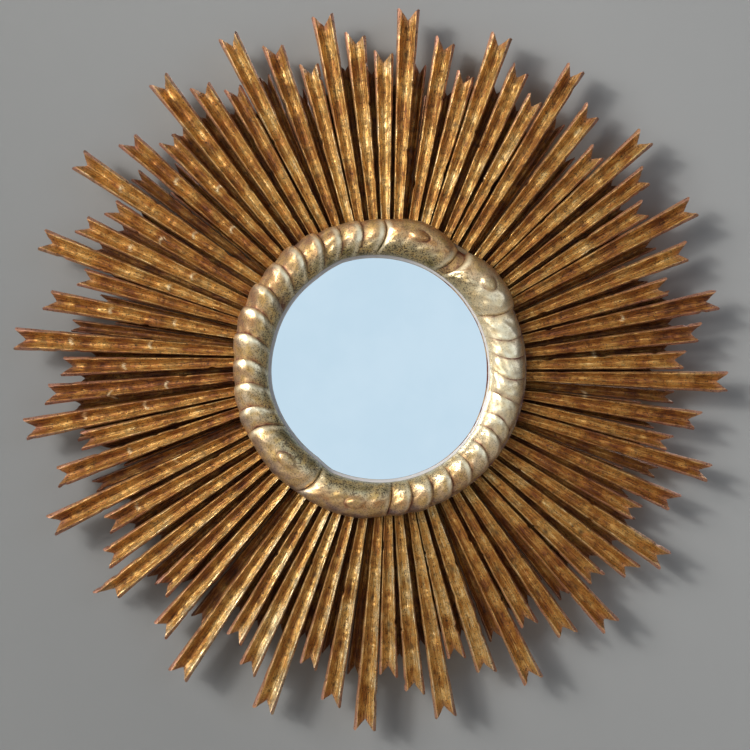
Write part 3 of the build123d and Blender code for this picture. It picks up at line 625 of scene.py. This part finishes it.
def makeCarvedRing(material):
    # sections go over the lip, the carved crown, the outer edge, the seat, the skirt and the rabbet back to
    # the glass. On the right a ledge lies between the glass and the lip, as the photo shows it, and it is
    # painted dark as a painted shadow
    s = ringForm
    cuts = np.array(s["cuts"])
    steps = [np.arange(0, 360, s["stepAngle"])] + [cuts + step for step in s["besideCut"]]
    station = np.unique(np.round(np.concatenate(steps) % 360, 4))
    leaf = leavesAt(station)
    inner = byAngle(station, s["inner"]) / 1000
    outer = byAngle(station, s["outer"]) / 1000 + leaf["swell"]
    radius, depth, angle, shares = carvedCrown(station, leaf, inner, outer)
    ledge = s["ledgeWide"] * byAngle(station, s["ledge"])
    same = np.ones_like(inner)
    lip = [(inner + behind * ledge + beyond, deep * same) for beyond, behind, deep in s["lip"]]
    rear = [(outer - s["underEdge"], s["underDepth"] * same)]
    rear = rear + [(far * same, deep * same) for far, deep in s["rear"]]
    lipRadius, lipDepth = (np.stack([one[k] for one in lip], -1) for k in (0, 1))
    rearRadius, rearDepth = (np.stack([one[k] for one in rear], -1) for k in (0, 1))
    ringRadius = np.concatenate([lipRadius, radius, rearRadius], 1)
    ringDepth = np.concatenate([lipDepth, depth, rearDepth], 1)
    plain = np.repeat(np.radians(station)[:, None], len(rear) - 1, 1)
    ringAngle = np.concatenate([np.repeat(angle[:, :1], len(lip), 1), angle, angle[:, -1:], plain], 1)
    points = np.stack([ringRadius * np.sin(ringAngle), -ringDepth, ringRadius * np.cos(ringAngle)], -1)
    rows, around = ringRadius.shape
    i, j = np.meshgrid(np.arange(rows), np.arange(around), indexing="ij")
    after, below = (j + 1) % around, (i + 1) % rows * around
    faces = np.stack([i * around + j, i * around + after, below + after, below + j], -1).reshape(-1, 4)
    # what each share is on the lip, before the crown, and behind it
    # on the ledge the hollow share paints a shadow; behind the crown the mauve share paints shade
    onLedge, nothing = np.array(s["ledgeShade"]), np.zeros(len(lip))
    elsewhere = {"hollow": (onLedge, 0.7), "crest": (nothing, 0), "olive": (nothing, 0),
                 "mauve": (nothing, 0.9), "lip": (1 - onLedge, 0), "amber": (nothing, 0.5)}
    shares = {title: np.concatenate([np.tile(before, (rows, 1)), shares[title],
                                     np.full((rows, len(rear)), behind)], 1).ravel()
              for title, (before, behind) in elsewhere.items()}
    across = np.stack([ringAngle.ravel() * 0.16, ringRadius.ravel()], -1)
    piece = makePiece("carvedRing", points.reshape(-1, 3), faces, across, shares, s["sharpAngle"])
    piece.data.materials.append(material)
    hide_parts("carved_ring")
    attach(piece, "mirror")
    print("carved ring made,", len(piece.data.polygons), "faces")


makeCarvedRing(burnishedLeafMaterial("burnished pale gold leaf on polished clay"))


# Finishes of the pieces that keep their CAD shape
def plainFinish(name, s):
    # an evenly mottled surface: noise between two colours; grain and relief in metres
    material, tree = emptyMaterial(name)
    spot = addNode(tree, "ShaderNodeTexCoord", {}).outputs["Object"]
    coarse = spreadNoise(tree, spot, s["grain"], 6.0, 0.3, 0.7, 0.65)
    fine = spreadNoise(tree, spot, s["grain"] / 5, 3.0, 0.35, 0.65)
    colour = blended(tree, coarse, s["dark"], s["light"])
    colour = blended(tree, times(tree, fine, 0.3), colour, s["dark"])
    finishWith(tree, {
        "Base Color": colour, "Metallic": s["metallic"],
        "Roughness": mapped(tree, fine, 0, 1, s["rough"] * 0.85, s["rough"] * 1.15),
        "Normal": bumped(tree, 0.4, s["relief"], fine),
    })
    return material


plywood = {
    "dark": "#A97E4C", "light": "#CBA373", "pore": "#7A5330", "darkPly": "#6F4A2B", "lightPly": "#B98F5E",
    "endPore": "#50331D", "figure": 0.006, "poreWide": 0.0012, "endGrain": 0.0022, "grainStretch": 0.06,
    "ply": 0.0014, "plyFrom": 0.0005, "plyTo": 0.0009, "relief": 0.0003, "rough": 0.68,
}


def plywoodMaterial():
    # birch plywood, sanded: grain on its faces, and on its edge light and dark plies 1.4 mm thick in turn
    s = plywood
    material, tree = emptyMaterial("birch plywood, sanded and cut round")
    spot = addNode(tree, "ShaderNodeTexCoord", {}).outputs["Object"]
    normal = addNode(tree, "ShaderNodeNewGeometry", {}).outputs["True Normal"]
    facing = addNode(tree, "ShaderNodeSeparateXYZ", {"Vector": normal}).outputs["Y"]
    isFace = calculated(tree, "GREATER_THAN", calculated(tree, "ABSOLUTE", facing), 0.7)
    grain = stretched(tree, spot, (1, 1, s["grainStretch"]))
    figure = spreadNoise(tree, grain, s["figure"], 6.0, 0.3, 0.7, 0.6)
    pores = spreadNoise(tree, grain, s["poreWide"], 3.0, 0.5, 0.75)
    face = blended(tree, figure, s["dark"], s["light"])
    face = blended(tree, times(tree, pores, 0.35), face, s["pore"])
    depth = addNode(tree, "ShaderNodeSeparateXYZ", {"Vector": spot}).outputs["Y"]
    plies = calculated(tree, "PINGPONG", depth, s["ply"])
    plies = mapped(tree, plies, s["plyFrom"], s["plyTo"], 0, 1)
    endGrain = spreadNoise(tree, spot, s["endGrain"], 5.0, 0.35, 0.65)
    edge = blended(tree, plies, s["darkPly"], s["lightPly"])
    edge = blended(tree, times(tree, endGrain, 0.4), edge, s["endPore"])
    finishWith(tree, {"Base Color": blended(tree, isFace, edge, face), "Roughness": s["rough"],
                      "Normal": bumped(tree, 0.35, s["relief"], pores)})
    return material


def silveredGlassMaterial():
    # float glass silvered on its back: a mirror with a faint blue-grey cast and hardly any blur
    material, tree = emptyMaterial("float glass silvered on its back")
    spot = addNode(tree, "ShaderNodeTexCoord", {}).outputs["Object"]
    cloud = spreadNoise(tree, spot, 0.09, 3.0, 0.3, 0.7)
    finishWith(tree, {"Base Color": blended(tree, cloud, "#E4EDF3", "#EAF1F6"), "Metallic": 1.0,
                      "Roughness": 0.012})
    return material


# brown board with a faint mottle; grey metal with a soft sheen; yellow metal, dull and a little warm
hardboard = plainFinish("hardboard, pressed smooth on this side", {
    "dark": "#3A2415", "light": "#5E4028", "metallic": 0, "rough": 0.55, "grain": 0.004, "relief": 0.0002})
zinc = plainFinish("zinc-plated steel, cold formed", {
    "dark": "#8B8D8E", "light": "#C4C6C5", "metallic": 1.0, "rough": 0.36, "grain": 0.0012,
    "relief": 0.00005})
brassPlate = plainFinish("brass-plated steel, dulled", {
    "dark": "#8A6A33", "light": "#C9A25C", "metallic": 1.0, "rough": 0.34, "grain": 0.0016,
    "relief": 0.00005})
finishes = {
    "mirror_glass": silveredGlassMaterial(), "backing_board": hardboard, "rear_cover": hardboard,
    "core_board": plywoodMaterial(), "glazing_points": zinc, "cover_screws": zinc, "ring_screws": zinc,
    "hanger_screws": zinc, "hanger_strap": brassPlate, "hanger_ring": brassPlate,
}
for node, material in finishes.items():
    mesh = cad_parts[node].data
    mesh.materials.clear()
    mesh.materials.append(material)
print("finishes set on", len(finishes), "CAD nodes")


# Stage: a pale wall that is see-through from behind, painted a little lighter toward the upper right as
# painted light, and a floor
stageForm = {
    "wallDark": "#8A8D90", "wallLight": "#A2A5A8", "lighterToward": (1.06, 0, 0.53), "floorColour": "#BDBBB8",
    "wallHalf": 1.3, "wallBehind": 0.0015, "floorHeight": -0.62, "floorHalf": 4,
}


def stagePiece(name, corners, material):
    mesh = bpy.data.meshes.new(name)
    mesh.from_pydata(corners, [], [(0, 1, 2, 3)])
    mesh.materials.append(material)
    thing = bpy.data.objects.new(name, mesh)
    bpy.context.scene.collection.objects.link(thing)


def makeStage():
    s = stageForm
    plaster, tree = emptyMaterial("painted plaster wall")
    path = addNode(tree, "ShaderNodeLightPath", {})
    behind = addNode(tree, "ShaderNodeNewGeometry", {}).outputs["Backfacing"]
    seeThrough = combined(tree, "MAXIMUM", behind, path.outputs["Is Shadow Ray"])
    spot = addNode(tree, "ShaderNodeTexCoord", {}).outputs["Object"]
    rising = addNode(tree, "ShaderNodeVectorMath", {"operation": "DOT_PRODUCT", 0: spot,
                                                    1: s["lighterToward"]}).outputs["Value"]
    # painted light: the wall's colour grows lighter toward the upper right
    colour = blended(tree, combined(tree, "ADD", rising, 0.5), s["wallDark"], s["wallLight"])
    matt = addNode(tree, "ShaderNodeBsdfDiffuse", {"Color": colour}).outputs[0]
    clear = addNode(tree, "ShaderNodeBsdfTransparent", {}).outputs[0]
    mixed = addNode(tree, "ShaderNodeMixShader", {0: seeThrough, 1: matt, 2: clear}).outputs[0]
    addNode(tree, "ShaderNodeOutputMaterial", {"Surface": mixed})
    paleFloor, tree = emptyMaterial("pale floor")
    matt = addNode(tree, "ShaderNodeBsdfDiffuse", {"Color": s["floorColour"]}).outputs[0]
    addNode(tree, "ShaderNodeOutputMaterial", {"Surface": matt})
    size, away, low, far = s["wallHalf"], s["wallBehind"], s["floorHeight"], s["floorHalf"]
    wall = [(-size, away, low), (size, away, low), (size, away, size), (-size, away, size)]
    floor = [(-far, -far, low), (far, -far, low), (far, far, low), (-far, far, low)]
    stagePiece("wall", wall, plaster)
    stagePiece("floor", floor, paleFloor)


makeStage()


# Light: a soft window with a brighter core high on the left, a weak fill from the right, a lamp for the back
lamps = {
    "windowLight": {"place": (-4.35, -3.9, 2.15), "size": 3.4, "power": 290, "colour": "#FFF9F0"},
    "windowCore": {"place": (-4.2, -3.8, 2.0), "size": 0.8, "power": 120, "colour": "#FFFBF2"},
    "fillLight": {"place": (2.6, -2.6, 0.9), "size": 1.8, "power": 12, "colour": "#E6EFFF"},
    "backLight": {"place": (1.6, 2.6, 1.9), "size": 1.6, "power": 95, "colour": "#FFFFFF"},
}
for name, s in lamps.items():
    lamp = bpy.data.lights.new(name, "AREA")
    lamp.energy, lamp.size = s["power"], s["size"]
    lamp.color = linearColour(s["colour"])[:3]
    thing = bpy.data.objects.new(name, lamp)
    bpy.context.scene.collection.objects.link(thing)
    thing.location = s["place"]
    thing.rotation_euler = Vector(s["place"]).to_track_quat("Z", "Y").to_euler()
    thing.visible_camera = False

worldLight = {
    "soft": "#8E9297", "softStrength": 0.36, "seen": "#D4D6D8", "mirrored": "#DAECF7",
    "brightSide": "#DAD5CB", "darkSide": "#262320",
    "toViewer": (0, -1, 0), "viewerSpan": (0.55, 0.9),
    "toBright": (-0.85, -0.1, 0.52), "brightSpan": (-0.3, 0.75),
}


def makeWorld():
    # diffuse rays get a soft grey; mirrored rays get the pale sky in front, a bright upper left and a dark
    # lower right around it
    s = worldLight
    world = bpy.data.worlds.new("studio")
    bpy.context.scene.world = world
    world.use_nodes = True
    tree = world.node_tree
    tree.nodes.clear()
    path = addNode(tree, "ShaderNodeLightPath", {}).outputs
    toward = addNode(tree, "ShaderNodeTexCoord", {}).outputs["Generated"]
    near = {}
    for side in ("Viewer", "Bright"):
        along = addNode(tree, "ShaderNodeVectorMath", {"operation": "DOT_PRODUCT", 0: toward,
                                                       1: s["to" + side]}).outputs["Value"]
        near[side] = mapped(tree, along, *s[side.lower() + "Span"], 0, 1, "SMOOTHSTEP")
    mirrored = blended(tree, near["Bright"], s["darkSide"], s["brightSide"])
    mirrored = blended(tree, near["Viewer"], mirrored, s["mirrored"])
    shades = ((s["soft"], s["softStrength"]), (mirrored, 1.0), (s["seen"], 1.0))
    soft, shiny, seen = (addNode(tree, "ShaderNodeBackground", {"Color": colour, "Strength": strength})
                         for colour, strength in shades)
    glossy = combined(tree, "MAXIMUM", path["Is Glossy Ray"], path["Is Transmission Ray"])
    both = addNode(tree, "ShaderNodeMixShader", {0: glossy, 1: soft.outputs[0], 2: shiny.outputs[0]})
    both = addNode(tree, "ShaderNodeMixShader", {0: path["Is Camera Ray"], 1: both.outputs[0],
                                                 2: seen.outputs[0]})
    addNode(tree, "ShaderNodeOutputWorld", {"Surface": both.outputs[0]})


makeWorld()
print("stage and light made")
